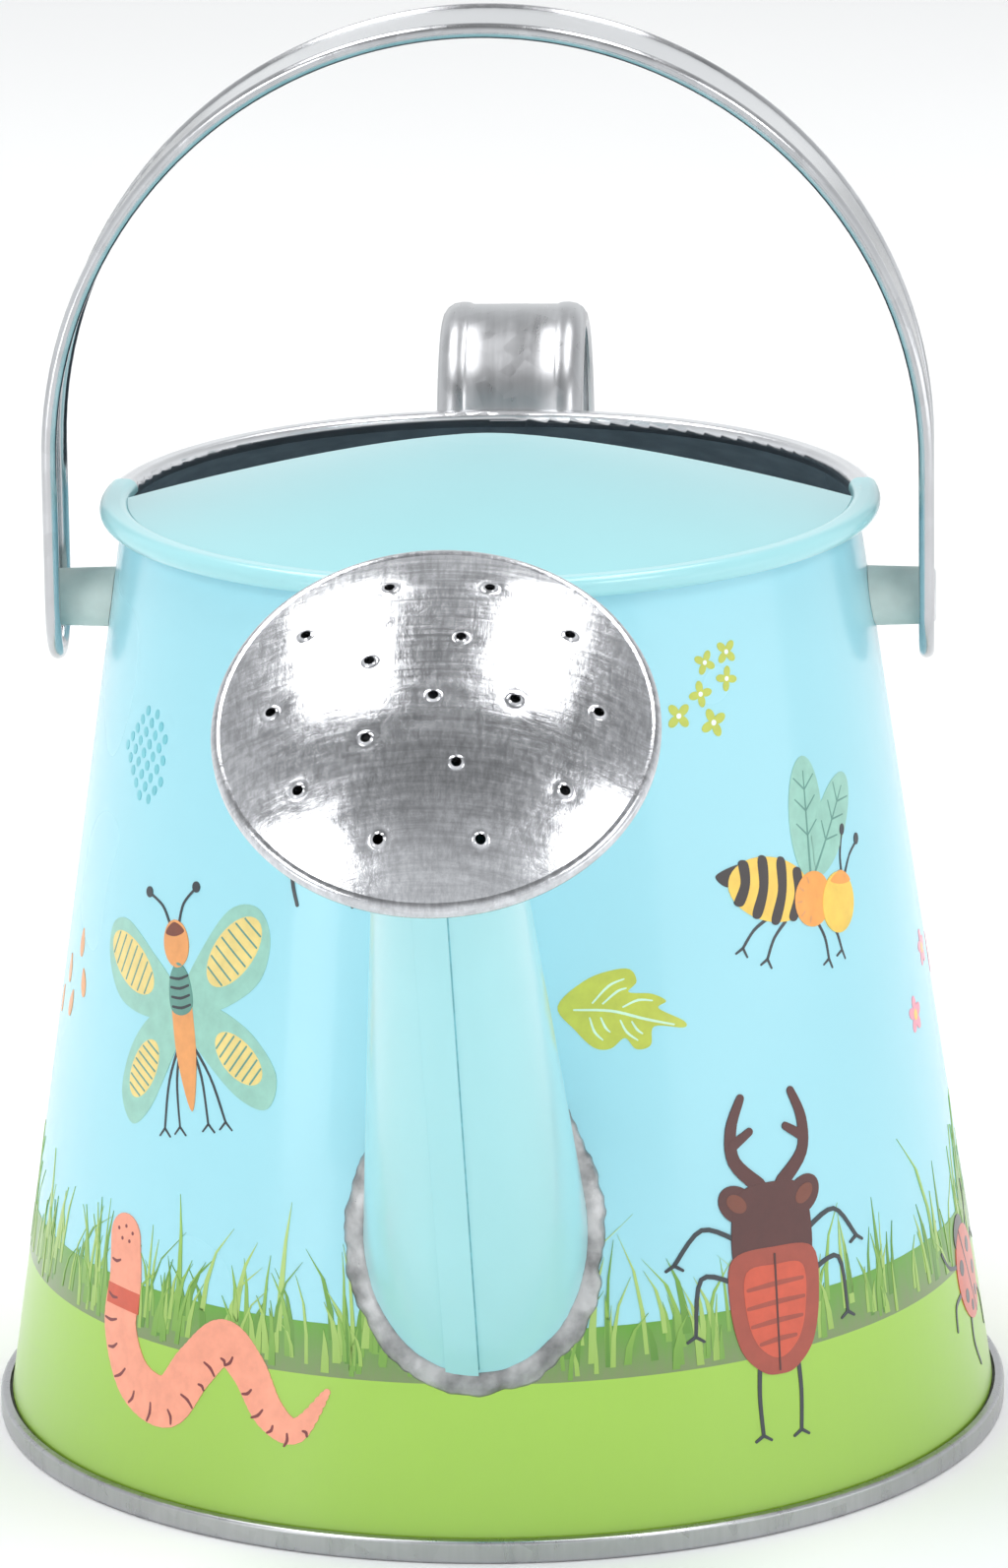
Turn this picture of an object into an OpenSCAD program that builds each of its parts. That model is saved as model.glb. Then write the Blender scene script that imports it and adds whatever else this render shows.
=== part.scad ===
// Small tinplate watering can with a swinging bail, a rear strip handle and a pull-off rose.
// Millimetres, +Z up. The base rests on z = 0, the spout points along -Y, the bail turns about X.

/* [Body] */
// Diameter over the seam ring at the base
base_d = 140; // [136:1:146]
// Height of the rim above the floor
body_h = 129.2; // [126:0.2:132]
// Lean of the wall from upright, in degrees
wall_lean = 8.38; // [8:0.02:8.8]
// Thickness of the tinplate sheet
sheet_t = 0.4; // [0.3:0.05:0.5]
// Height of the rolled rim bead
bead_h = 2.2; // [1.8:0.1:2.4]
// Width of the rolled rim bead
bead_w = 3.25; // [2.6:0.05:3.6]
// Height of the recessed bottom above the floor
bottom_lift = 3.6; // [3.4:0.1:3.8]
// Width of the locked side seam inside the body
side_seam_w = 5; // [3:0.5:8]

/* [Cover] */
// Rise of the front cover's crown above the rim
cover_rise = 8.7; // [6:0.1:11]
// Thickness of the cover sheet
cover_t = 0.35; // [0.25:0.05:0.45]
// How far the crimp runs behind each pivot, in degrees
cover_wrap = 8; // [4:1:12]

/* [Spout] */
// Height at which the spout axis meets the wall
spout_root_z = 45.5; // [43:0.5:48]
// Lean of the spout axis from upright, in degrees
spout_lean = 39; // [37:0.5:41]
// Outer radius of the spout where its axis meets the wall
spout_root_r = 14.75; // [14:0.25:15.5]
// Outer radius of the spout at its tip
spout_tip_r = 8.9; // [8.4:0.1:9.4]
// Length of the spout along its axis
spout_len = 88; // [84:1:92]

/* [Rose] */
// Outer radius of the rose
rose_r = 27.5; // [25:0.5:30]
// Height of the domed face above the rose's edge
rose_dome = 6.7; // [5:0.1:8]
// Distance of the rose's edge from the spout root, along the axis
rose_edge_l = 109; // [106:0.5:112]
// Length of the neck that slides into the spout's tip
neck_len = 14; // [12:1:16]
// Diameter of the spray holes
spray_d = 1.3; // [1:0.1:1.8]

/* [Bail] */
// Half of the bail's outside width
bail_half = 60.4; // [60:0.1:62]
// Width of the bail strip
bail_w = 17; // [15:0.5:19]
// Diameter of the rolled edges of the bail
bail_edge_d = 2.1; // [1.8:0.1:2.4]
// Height of the pivot axis
pivot_z = 114.7; // [113:0.1:116]
// Height at which the straight legs turn into the arch
arch_z = 134.8; // [132:0.2:138]
// Diameter of the pivot rivets
rivet_d = 4; // [3:0.25:5]
// Diameter of the spacer bushes beside the bail
spacer_d = 7.8; // [7:0.1:9]

/* [Rear handle] */
// Width of the handle strip
grip_w = 21; // [18:0.5:24]
// Width of each rolled edge of the handle strip
grip_edge_w = 4.2; // [3:0.1:5]
// Height of the top of the upper handle tab
grip_start_z = 116; // [115:0.5:117]
// Radius of the handle's first bend, out past the rim
grip_rise_r = 20.6; // [20:0.2:22]
// Radius of the handle's main bend
grip_back_r = 27; // [25:0.5:29]
// Radius of the handle's long lower sweep
grip_sweep_r = 50; // [45:1:55]
// Radius of the last bend, back on to the wall
grip_foot_r = 18; // [15:1:20]
// Length of the tabs that are soldered to the wall
tab_len = 12; // [9:0.5:14]

/* [Hidden] */
$fn = 96;
gap = 0.03;
wall_slope = tan(wall_lean);
seam_t = 0.4;
seam_h = 3.15;
seam_corner_r = 0.5;
wall_foot_r = base_d / 2 - 1.7;
wall_foot_z = 3.2;
bead_r = bead_h / 2;
bead_z = body_h - bead_r;
bead_in = wall_r(bead_z) - sheet_t + bead_r;
bead_out = bead_in + bead_w - bead_h;
crimp_r = bead_r + cover_t;
cover_edge_r = bead_in - crimp_r + 0.15;
rivet_r = rivet_d / 2;
run_gap = 0.05;
head_r = 4;
head_h = 0.5;
washer_r = 4.5;
washer_in_x = 49.9;
spacer_foot_r = spacer_d / 2 + 0.35;
web_t = 0.4;
web_drop = 0.35;
web_out_x = bail_half - web_drop;
web_in_x = web_out_x - web_t;
spacer_end_x = web_in_x - 2 * run_gap;
edge_r = bail_edge_d / 2;
grip_t = 0.5;
grip_edge_h = 2.2;
grip_proud = 0.3;
tab_gap = 0.1;
sweep_turn = 45;
spout_hole_r = 13.2;
spout_back_l = -24;
neck_l = spout_len - neck_len + 3;
neck_r = spout_tip_r - sheet_t - 0.08;
collar_l = spout_len + 0.4;
collar_r = neck_r + gap;
funnel_small_l = neck_l + neck_len + 0.5;
dome_r = (pow(rose_r - 0.5, 2) + pow(rose_dome, 2)) / (2 * rose_dome);
solder_w = 2.3;
solder_h = 1.5;

// Outer radius of the wall at height z
function wall_r(z) = wall_foot_r - wall_slope * (z - wall_foot_z);
// Outer radius of the spout at distance l along its axis
function spout_r(l) = spout_root_r - (spout_root_r - spout_tip_r) * l / spout_len;
// Points along an arc, for rounding a corner of an outline
function arc(c, r, from, to, n = 4) = [for (i = [0:n]) c + r * [cos(from + (to - from) * i / n),
                                                                 sin(from + (to - from) * i / n)]];
// Height of the cover above its edge, at radius r
function cover_z(r) = bead_z + 0.8 + (cover_rise - 0.8 + bead_r) * (1 - pow(r / cover_edge_r, 1.5));

// Solid cone that follows the wall, its surface a distance off outside the wall's
module wall_solid(off = 0, low = -1, high = 150) {
    translate([0, 0, low])
        cylinder(h = high - low, r1 = wall_r(low) + off, r2 = wall_r(high) + off);
}

// Layer on the wall between two distances from its outer surface
module wall_layer(near, far, low, high) {
    difference() {
        wall_solid(far, low, high);
        wall_solid(near, low - 1, high + 1);
    }
}

// Places its children in the spout's frame: origin where the axis meets the wall, +Z along the axis
module on_spout(l = 0) {
    translate([0, -wall_r(spout_root_z), spout_root_z])
        rotate([spout_lean, 0, 0])
            translate([0, 0, l])
                children();
}

// Round bar along the spout axis with the spout's taper, its surface a distance off outside
module spout_solid(off, from, to) {
    on_spout(from)
        cylinder(h = to - from, r1 = spout_r(from) + off, r2 = spout_r(to) + off);
}

// Places its children on the pivot axis, with +Z pointing outward along +X or -X
module on_pivot(side, x = 0) {
    translate([side * x, 0, pivot_z])
        rotate([0, side * 90, 0])
            children();
}

// ---------- body ----------

module body_shell() {
    color("lightskyblue") difference() {
        union() {
            rotate_extrude() {
                polygon([[wall_foot_r - sheet_t, 0.45], [wall_foot_r + 1.2, 0.45],
                         [wall_foot_r + 1.2, 0.85], [wall_foot_r, 0.85], [wall_foot_r, wall_foot_z],
                         [wall_r(bead_z), bead_z], [wall_r(bead_z) - sheet_t, bead_z],
                         [wall_foot_r - sheet_t, wall_foot_z]]);
                slot_2d(bead_in, bead_out, bead_z, bead_r);
            }
            side_seam();
        }
        on_spout(-12)
            cylinder(h = 30, r = spout_hole_r);
        for (side = [-1, 1])
            on_pivot(side, wall_r(pivot_z) - 4)
                cylinder(h = 8, r = rivet_r + run_gap);
    }
}

// Flattened round section between two radii, at height z
module slot_2d(r_in, r_out, z, r) {
    translate([r_in, z])
        circle(r = r);
    translate([r_out, z])
        circle(r = r);
    translate([r_in, z - r])
        square([r_out - r_in, 2 * r]);
}

// Locked seam of the wall sheet, standing inside at the rear
module side_seam() {
    intersection() {
        wall_layer(-sheet_t - 0.35, -sheet_t / 2, bottom_lift + 0.2, bead_z);
        translate([-side_seam_w / 2, 0, 0])
            cube([side_seam_w, base_d, body_h]);
    }
}

module base_pan() {
    out_r = base_d / 2;
    leg_r = wall_foot_r - sheet_t - 0.1;
    rib_r = out_r * 0.78;
    low_z = bottom_lift - seam_t;
    color("silver") rotate_extrude()
        polygon(concat(
            [[0, low_z], [rib_r - 3, low_z], [rib_r - 2, low_z - 1], [rib_r + 2, low_z - 1],
             [rib_r + 3, low_z], [leg_r - seam_t, low_z], [leg_r - seam_t, 0]],
            arc([out_r - seam_corner_r, seam_corner_r], seam_corner_r, -90, 0),
            arc([out_r - seam_corner_r, seam_h - seam_corner_r], seam_corner_r, 0, 90),
            [[wall_foot_r + 0.45, seam_h], [wall_foot_r + 0.45, seam_h - seam_t],
             [out_r - seam_t, seam_h - seam_t], [out_r - seam_t, seam_t], [leg_r, seam_t],
             [leg_r, bottom_lift], [rib_r + 3.2, bottom_lift], [rib_r + 2.2, bottom_lift - 1],
             [rib_r - 2.2, bottom_lift - 1], [rib_r - 3.2, bottom_lift], [0, bottom_lift]]));
}

module base_seam_compound() {
    color("dimgray") rotate_extrude()
        translate([wall_foot_r + 0.05, 0.9])
            square([1.15, 1.8]);
}

module front_cover() {
    steps = 14;
    radii = [for (i = [0:steps]) cover_edge_r * i / steps];
    color("paleturquoise") {
        intersection() {
            rotate_extrude()
                polygon(concat([for (r = radii) [r, cover_z(r)]],
                               [for (i = [steps:-1:0]) [radii[i], cover_z(radii[i]) - cover_t]]));
            translate([-base_d, -base_d - 1.5, 0])
                cube([2 * base_d, base_d, 2 * body_h]);
        }
        rotate([0, 0, 180 - cover_wrap])
            rotate_extrude(angle = 180 + 2 * cover_wrap)
                difference() {
                    slot_2d(bead_in, bead_out, bead_z, crimp_r);
                    slot_2d(bead_in, bead_out, bead_z, bead_r + gap);
                    translate([bead_in - crimp_r, bead_z - 2 * crimp_r])
                        square([crimp_r + 0.6, 2 * crimp_r - 0.25]);
                }
    }
}

// ---------- spout ----------

module spout_tube() {
    lap_w = 4.4;
    color("paleturquoise") difference() {
        union() {
            spout_solid(0, spout_back_l, spout_len);
            intersection() {
                spout_solid(0.35, spout_back_l, spout_len);
                on_spout(spout_back_l)
                    translate([-lap_w + 0.4, -2 * spout_root_r, 0])
                        cube([lap_w, 2 * spout_root_r, spout_len - spout_back_l]);
            }
        }
        spout_solid(-sheet_t, spout_back_l - 1, spout_len + 1);
        wall_solid(gap);
    }
}

module spout_solder() {
    color("gainsboro") difference() {
        intersection() {
            wall_solid(solder_h);
            spout_solid(solder_w, spout_back_l, spout_len / 3);
        }
        wall_solid(gap);
        spout_solid(0.35 + gap, spout_back_l - 1, spout_len / 2);
    }
}

// ---------- rose ----------

module rose_neck() {
    color("silver") on_spout(neck_l) difference() {
        cylinder(h = neck_len, r = neck_r);
        translate([0, 0, -1])
            cylinder(h = neck_len + 2, r = neck_r - sheet_t);
    }
}

module rose_funnel() {
    edge_r_in = rose_r - 1.4;
    color("silver") on_spout()
        rotate_extrude()
            polygon([[collar_r, collar_l], [collar_r + sheet_t, collar_l],
                     [collar_r + sheet_t, funnel_small_l - 0.2], [edge_r_in, rose_edge_l - 1],
                     [rose_r - 0.65, rose_edge_l - 1], [rose_r - 0.65, rose_edge_l - 1 + sheet_t],
                     [edge_r_in - 0.3, rose_edge_l - 1 + sheet_t], [collar_r, funnel_small_l]]);
}

module rose_solder() {
    foot_r = collar_r + sheet_t + gap;
    color("gainsboro") on_spout()
        rotate_extrude()
            polygon([[foot_r, collar_l + 0.4], [foot_r + 0.7, collar_l + 1.1], [foot_r + 0.8, collar_l + 2],
                     [foot_r, funnel_small_l - 0.4]]);
}

module rose_face() {
    lip_l = rose_edge_l - 1.45;
    color("silver") on_spout() difference() {
        union() {
            intersection() {
                translate([0, 0, rose_edge_l + rose_dome - dome_r])
                    difference() {
                        sphere(r = dome_r);
                        sphere(r = dome_r - sheet_t);
                    }
                translate([0, 0, rose_edge_l - 0.15])
                    cylinder(h = 2 * rose_dome, r = rose_r - 0.3);
            }
            rotate_extrude()
                polygon([[rose_r - 1.3, lip_l], [rose_r - 0.2, lip_l], [rose_r, lip_l + 0.2],
                         [rose_r, rose_edge_l - 0.1], [rose_r - 0.2, rose_edge_l + 0.1],
                         [rose_r - 0.9, rose_edge_l + 0.25], [rose_r - 0.9, rose_edge_l - 0.25],
                         [rose_r - 0.55, rose_edge_l - 0.35], [rose_r - 0.55, lip_l + 0.35],
                         [rose_r - 1.3, lip_l + 0.35]]);
        }
        spray_hole(0, 0);
        for (i = [0:4])
            spray_hole(rose_r * 0.36, 72 * i);
        for (i = [0:9])
            spray_hole(rose_r * 0.725, 36 * i);
    }
}

// One spray hole, square to the domed face
module spray_hole(r, turn) {
    rotate([0, 0, turn])
        translate([0, 0, rose_edge_l + rose_dome - dome_r])
            rotate([0, asin(r / dome_r), 0])
                translate([0, 0, dome_r - 2])
                    cylinder(h = 4, r = spray_d / 2);
}

// ---------- bail and pivots ----------

// Section of the bail strip: the web between two rolled edges, x is the distance from the arch centre
module bail_section() {
    for (side = [-1, 1])
        translate([bail_half - edge_r, side * (bail_w / 2 - edge_r)])
            circle(r = edge_r);
    translate([web_in_x, -bail_w / 2 + edge_r])
        square([web_t, bail_w - bail_edge_d]);
}

module bail_handle() {
    color("lightgray") difference() {
        union() {
            translate([0, 0, arch_z])
                rotate([90, 0, 0])
                    rotate_extrude(angle = 180)
                        bail_section();
            for (side = [0, 1])
                mirror([side, 0, 0]) {
                    translate([0, 0, pivot_z])
                        linear_extrude(height = arch_z - pivot_z)
                            bail_section();
                    on_pivot(1, web_in_x)
                        cylinder(h = web_t, r = bail_w / 2 - edge_r);
                    bail_end();
                }
        }
        for (side = [-1, 1])
            on_pivot(side, web_in_x - 1)
                cylinder(h = 3, r = rivet_r + run_gap);
    }
}

// Rolled edge that turns round below the pivot
module bail_end() {
    on_pivot(1, bail_half - edge_r)
        rotate([0, 0, -90])
            rotate_extrude(angle = 180)
                translate([bail_w / 2 - edge_r, 0])
                    circle(r = edge_r);
}

module rivet(side) {
    color("gainsboro") {
        on_pivot(side, washer_in_x - 0.9)
            cylinder(h = web_out_x + run_gap - washer_in_x + 1, r = rivet_r);
        on_pivot(side, web_out_x + run_gap)
            cylinder(h = head_h, r1 = head_r, r2 = head_r - 0.6);
        on_pivot(side, washer_in_x - 0.9)
            cylinder(h = 0.9 - gap, r1 = 2.9, r2 = 3.4);
    }
}

module spacer(side) {
    color("darkseagreen") difference() {
        on_pivot(side, 46)
            cylinder(h = spacer_end_x - 46, r1 = spacer_foot_r, r2 = spacer_d / 2);
        wall_solid(gap);
        on_pivot(side, 40)
            cylinder(h = 30, r = rivet_r + gap);
    }
}

module rivet_washer(side) {
    $fn = 360;
    color("silver") intersection() {
        difference() {
            on_pivot(side, washer_in_x)
                cylinder(h = 4, r = washer_r);
            on_pivot(side, washer_in_x - 1)
                cylinder(h = 8, r = rivet_r + gap);
        }
        wall_solid(-sheet_t - gap);
    }
}

// ---------- rear handle ----------

// A path is a list of [y, z, heading]; a heading is an angle from +Y towards +Z
function bend(p, h0, h1, r, n) = [for (i = [0:n]) let (h = h0 + (h1 - h0) * i / n)
    [p[0] + r * (sin(h) - sin(h0)), p[1] + r * (cos(h0) - cos(h)), h]];
function last(path) = path[len(path) - 1];
function ahead(s, d) = [s[0] + d * cos(s[2]), s[1] + d * sin(s[2]), s[2]];
function beside(s, u) = [s[0] - u * sin(s[2]), s[1] + u * cos(s[2])];

wall_up = 90 + wall_lean;
wall_down = wall_lean - 90;
sweep_down = -90 - sweep_turn;
grip_start = [wall_r(grip_start_z) + tab_gap, grip_start_z, wall_up];
rise = bend(grip_start, wall_up, 0, -grip_rise_r, 12);
back = bend(last(rise), 0, -90, -grip_back_r, 16);
sweep = bend(last(back), -90, sweep_down, -grip_sweep_r, 8);
foot_step = last(bend([0, 0], sweep_down, wall_down, grip_foot_r, 1));
// Straight run that brings the foot of the handle exactly on to the wall
grip_run = (last(sweep)[0] + foot_step[0] - wall_r(last(sweep)[1] + foot_step[1]) - tab_gap - grip_t)
           / (cos(sweep_turn) * (wall_slope + 1));
foot = bend(ahead(last(sweep), grip_run), sweep_down, wall_down, grip_foot_r, 8);
foot_tab_z = last(foot)[1] + 1;
rolled_path = concat([for (i = [2:12]) rise[i]], back, sweep, [foot[0]]);
web_path = concat([ahead(grip_start, -6)], rise, back, sweep, foot, [ahead(last(foot), 5)]);

// Band of the handle strip, between two distances from the web's outer face
module grip_band(path, low, high, x, width) {
    translate([x - width / 2, 0, 0])
        rotate([90, 0, 90])
            linear_extrude(height = width)
                polygon(concat([for (s = path) beside(s, low)],
                               [for (i = [len(path) - 1:-1:0]) beside(path[i], high)]));
}

// Flat end of the strip, formed to the wall
module grip_tab(top_z) {
    intersection() {
        wall_layer(gap, gap + grip_t, top_z - tab_len, top_z);
        translate([-grip_w / 2, 0, 0])
            cube([grip_w, base_d, 2 * body_h]);
    }
}

module rear_handle() {
    edge_x = (grip_w - grip_edge_w) / 2;
    color("lightgray") {
        grip_tab(grip_start_z);
        grip_tab(foot_tab_z);
        grip_band(web_path, -grip_t, 0, 0, grip_w);
        for (side = [-1, 1])
            grip_band(rolled_path, grip_proud - grip_edge_h, grip_proud, side * edge_x, grip_edge_w);
    }
}

// Solder round a tab: a band on the wall that stands out beyond the tab's outline
module handle_solder(top_z, band_top) {
    border = 1.6;
    color("gainsboro") difference() {
        intersection() {
            wall_layer(gap, 0.9, top_z - tab_len - border, band_top);
            translate([-grip_w / 2 - border, 0, 0])
                cube([grip_w + 2 * border, base_d, 2 * body_h]);
        }
        translate([-grip_w / 2 - gap, 0, top_z - tab_len - gap])
            cube([grip_w + 2 * gap, base_d, body_h]);
    }
}

module handle_solder_upper() {
    handle_solder(grip_start_z, grip_start_z - 4);
}

module handle_solder_lower() {
    handle_solder(foot_tab_z, foot_tab_z - 3);
}

body_shell();
base_pan();
base_seam_compound();
front_cover();
spout_tube();
spout_solder();
rear_handle();
handle_solder_upper();
handle_solder_lower();
rivet(-1);  // rivet_left
rivet(1);  // rivet_right
spacer(-1);  // spacer_left
spacer(1);  // spacer_right
rivet_washer(-1);  // rivet_washer_left
rivet_washer(1);  // rivet_washer_right
rose_neck();
rose_funnel();
rose_solder();
rose_face();
bail_handle();
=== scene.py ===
"""Small tin watering can: looks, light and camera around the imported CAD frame. Metres, +Z up, spout along -Y."""

import random
from math import ceil, cos, degrees, exp, floor, hypot, pi, radians, sin, sqrt, tan

import bmesh
import bpy
from mathutils import Matrix, Vector, noise
from mathutils.geometry import delaunay_2d_cdt


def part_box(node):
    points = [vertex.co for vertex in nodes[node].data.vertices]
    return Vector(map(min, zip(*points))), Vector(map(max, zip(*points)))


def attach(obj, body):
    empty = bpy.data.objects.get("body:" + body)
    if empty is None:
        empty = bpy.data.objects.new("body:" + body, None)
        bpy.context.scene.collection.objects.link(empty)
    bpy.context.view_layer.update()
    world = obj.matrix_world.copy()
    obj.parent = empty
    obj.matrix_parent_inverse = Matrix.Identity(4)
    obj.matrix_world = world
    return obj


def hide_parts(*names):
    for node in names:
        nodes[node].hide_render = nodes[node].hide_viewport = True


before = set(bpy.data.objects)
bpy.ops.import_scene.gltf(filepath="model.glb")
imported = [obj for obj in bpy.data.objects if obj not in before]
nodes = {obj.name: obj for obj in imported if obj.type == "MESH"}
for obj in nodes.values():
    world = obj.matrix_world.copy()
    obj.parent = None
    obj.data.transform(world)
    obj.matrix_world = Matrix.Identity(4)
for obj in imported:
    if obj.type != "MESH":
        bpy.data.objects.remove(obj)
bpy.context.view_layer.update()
MM = 0.001

# -------- sizes, in millimetres: base and rim from the frame, the rest as in the CAD

base_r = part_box("base_pan")[1].x / MM
rim_top_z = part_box("body_shell")[1].z / MM
wall_foot_r = base_r - 1.7
wall_foot_z = 3.2
wall_lean = radians(8.38)
wall_slope = tan(wall_lean)
bead_z = rim_top_z - 1.1
spout_root_z = 45.5
spout_lean = radians(39)
spout_root_r = 14.75
spout_tip_r = 8.9
spout_len = 88
rose_r = 27.5
rose_edge_l = 109
rose_dome = 6.7
rose_collar_l = spout_len + 0.4
spray_r = 0.65
sheet_t = 0.4
strip_t = 0.5
tab_gap = 0.12
tab_border = 1.6
grid_deg = 2.5
ink_base = 0.03
ink_step = 0.016
ink_sink = 0.05
band_out = 0.045


def wall_r(z):
    """Outer radius of the body's wall at height z."""
    return wall_foot_r - wall_slope * (z - wall_foot_z)


def spout_r(l):
    """Outer radius of the spout at distance l along its axis."""
    return spout_root_r - (spout_root_r - spout_tip_r) * l / spout_len


def on_wall(deg, z, out=0.0):
    """Point on the wall: deg turns from the spout side towards +X, out is the distance off the wall."""
    a = radians(deg)
    r = wall_r(z) + out
    return Vector((r * sin(a), -r * cos(a), z))


spout_root = Vector((0, -wall_r(spout_root_z), spout_root_z))
spout_frame = Matrix.Translation(spout_root) @ Matrix.Rotation(spout_lean, 4, "X")


def round_spout(r, turn, l):
    """Point at radius r from the spout's axis, at a turn round it and a distance l along it."""
    return spout_frame @ Vector((r * cos(turn), r * sin(turn), l))


# -------- node helpers

class Nodes:
    """Short names for building one material's node tree."""

    def __init__(self, name):
        self.material = bpy.data.materials.new(name)
        self.material.use_nodes = True
        self.tree = self.material.node_tree
        self.tree.nodes.clear()
        self.out = self.add("ShaderNodeOutputMaterial")
        self.shader = self.add("ShaderNodeBsdfPrincipled")
        self.link(self.shader.outputs[0], self.out.inputs["Surface"])
        self.place = self.add("ShaderNodeTexCoord").outputs["Object"]

    def add(self, kind, **settings):
        made = self.tree.nodes.new(kind)
        for key, value in settings.items():
            setattr(made, key, value)
        return made

    def link(self, source, target):
        self.tree.links.new(source, target)

    def set(self, **values):
        for key, value in values.items():
            self.shader.inputs[key.replace("_", " ")].default_value = value

    def feed(self, socket, value):
        """Sets a socket to a number or a colour, or links it."""
        if isinstance(value, (int, float)):
            socket.default_value = value
        elif isinstance(value, tuple):
            socket.default_value = (*value, 1)
        else:
            self.link(value, socket)

    def math(self, operation, *values):
        made = self.add("ShaderNodeMath", operation=operation)
        for socket, value in zip(made.inputs, values):
            self.feed(socket, value)
        return made.outputs[0]

    def stretched(self, scale):
        """The object's coordinates, scaled along each axis."""
        made = self.add("ShaderNodeMapping")
        made.inputs["Scale"].default_value = scale
        self.link(self.place, made.inputs["Vector"])
        return made.outputs[0]

    def noise(self, scale, detail=3.0, rough=0.5, at=None, distortion=0.0):
        made = self.add("ShaderNodeTexNoise")
        made.inputs["Scale"].default_value = scale
        made.inputs["Detail"].default_value = detail
        made.inputs["Roughness"].default_value = rough
        made.inputs["Distortion"].default_value = distortion
        self.link(at or self.place, made.inputs["Vector"])
        return made.outputs[0]

    def ramp(self, value, *stops):
        made = self.add("ShaderNodeValToRGB")
        elements = made.color_ramp.elements
        while len(elements) < len(stops):
            elements.new(0.5)
        for element, (at, colour) in zip(elements, stops):
            element.position = at
            element.color = (*colour, 1)
        self.link(value, made.inputs[0])
        return made.outputs[0]

    def span(self, value, low, high, to_low, to_high):
        made = self.add("ShaderNodeMapRange")
        for i, number in enumerate((low, high, to_low, to_high)):
            made.inputs[i + 1].default_value = number
        self.link(value, made.inputs[0])
        return made.outputs[0]

    def mix(self, factor, a, b):
        made = self.add("ShaderNodeMix", data_type="RGBA")
        for i, value in ((0, factor), (6, a), (7, b)):
            self.feed(made.inputs[i], value)
        return made.outputs[2]

    def bump(self, height, strength, distance):
        made = self.add("ShaderNodeBump")
        made.inputs["Strength"].default_value = strength
        made.inputs["Distance"].default_value = distance
        self.link(height, made.inputs["Height"])
        self.link(made.outputs[0], self.shader.inputs["Normal"])

    def colour(self, value):
        self.link(value, self.shader.inputs["Base Color"])

    def roughness(self, value):
        self.link(value, self.shader.inputs["Roughness"])


def linear(r, g, b):
    """An sRGB colour, 0 to 255, as linear values."""
    return tuple((c / 255 / 12.92) if c <= 10 else ((c / 255 + 0.055) / 1.055) ** 2.4 for c in (r, g, b))


def tinted(colour, by):
    """The colour made lighter or darker."""
    return tuple(min(1.0, c * by) for c in colour)


# -------- materials

SKY = linear(162, 222, 235)
COVER_BLUE = linear(163, 221, 227)
GROUND = linear(156, 198, 74)
TIN = linear(220, 221, 224)


def gloss(n):
    """Lacquer: a soft gloss whose roughness varies a little, with a faint orange-peel surface."""
    n.set(Coat_Weight=0.35, Coat_Roughness=0.12, Specular_IOR_Level=0.5)
    n.roughness(n.span(n.noise(60, 1), 0.2, 0.8, 0.27, 0.34))
    n.bump(n.noise(700, 2), 0.12, 0.00004)


def ink(name, colour):
    """Printed ink under lacquer, slightly uneven like a litho print."""
    n = Nodes(name)
    tone = n.noise(420, 4, 0.6)
    n.colour(n.ramp(tone, (0.3, tinted(colour, 0.92)), (0.7, tinted(colour, 1.08))))
    gloss(n)
    return n.material


def banded_ink(name, low_z, high_z, low_colour, high_colour, streak=0.0):
    """Ink that changes colour with height, with fine upright streaks."""
    n = Nodes(name)
    height = n.add("ShaderNodeSeparateXYZ")
    n.link(n.place, height.inputs[0])
    rise = n.span(height.outputs[2], low_z * MM, high_z * MM, 0, 1)
    streaks = n.noise(1, 3, 0.6, at=n.stretched((900, 900, 60)))
    shade = n.math("ADD", rise, n.math("MULTIPLY", n.math("SUBTRACT", streaks, 0.5), streak))
    middle = tuple((a + b) / 2 for a, b in zip(low_colour, high_colour))
    n.colour(n.ramp(shade, (0.0, low_colour), (0.5, middle), (1.0, high_colour)))
    gloss(n)
    return n.material


def painted_wall():
    """Body sheet: sky-blue print outside, tinplate inside painted darker and bluer than the rim as painted shade
    and a painted bluish reflection, brighter on the rolled rim.
    """
    n = Nodes("body_print_and_shaded_tin")
    split = n.add("ShaderNodeSeparateXYZ")
    n.link(n.place, split.inputs[0])
    x, y, z = split.outputs
    radius = n.math("SQRT", n.math("ADD", n.math("MULTIPLY", x, x), n.math("MULTIPLY", y, y)))
    wall = n.math("MULTIPLY_ADD", z, -wall_slope, (wall_foot_r + wall_slope * wall_foot_z) * MM)
    outside = n.math("GREATER_THAN", n.math("SUBTRACT", radius, wall), -0.2 * MM)
    on_bead = n.math("GREATER_THAN", z, (bead_z - 0.95) * MM)
    painted = n.math("MULTIPLY", outside, n.math("SUBTRACT", 1.0, on_bead))
    paint = n.ramp(n.noise(40, 1), (0.2, tinted(SKY, 0.985)), (0.8, tinted(SKY, 1.01)))
    paint = n.mix(n.math("LESS_THAN", z, 10 * MM), paint, GROUND)
    streaks = n.noise(1, 3, at=n.stretched((160, 160, 700)))
    # Painted shade and painted bluish reflection: the inside's bare tin gets a darker blue-grey than the same
    # sheet on the rim.
    inner = linear(150, 172, 184)
    shaded_inside_tin = n.ramp(streaks, (0.25, tinted(inner, 0.8)), (0.75, tinted(inner, 1.15)))
    rim_tin = n.ramp(streaks, (0.25, tinted(TIN, 0.92)), (0.75, tinted(TIN, 1.06)))
    n.colour(n.mix(painted, n.mix(on_bead, shaded_inside_tin, rim_tin), paint))
    n.link(n.math("SUBTRACT", n.math("MULTIPLY_ADD", on_bead, 0.4, 0.6), painted), n.shader.inputs["Metallic"])
    n.roughness(n.span(n.noise(30, 1), 0.2, 0.8, 0.25, 0.28))
    n.set(Coat_Weight=0.35, Coat_Roughness=0.08)
    n.bump(n.noise(500, 2), 0.08, 0.00003)
    return n.material


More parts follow.
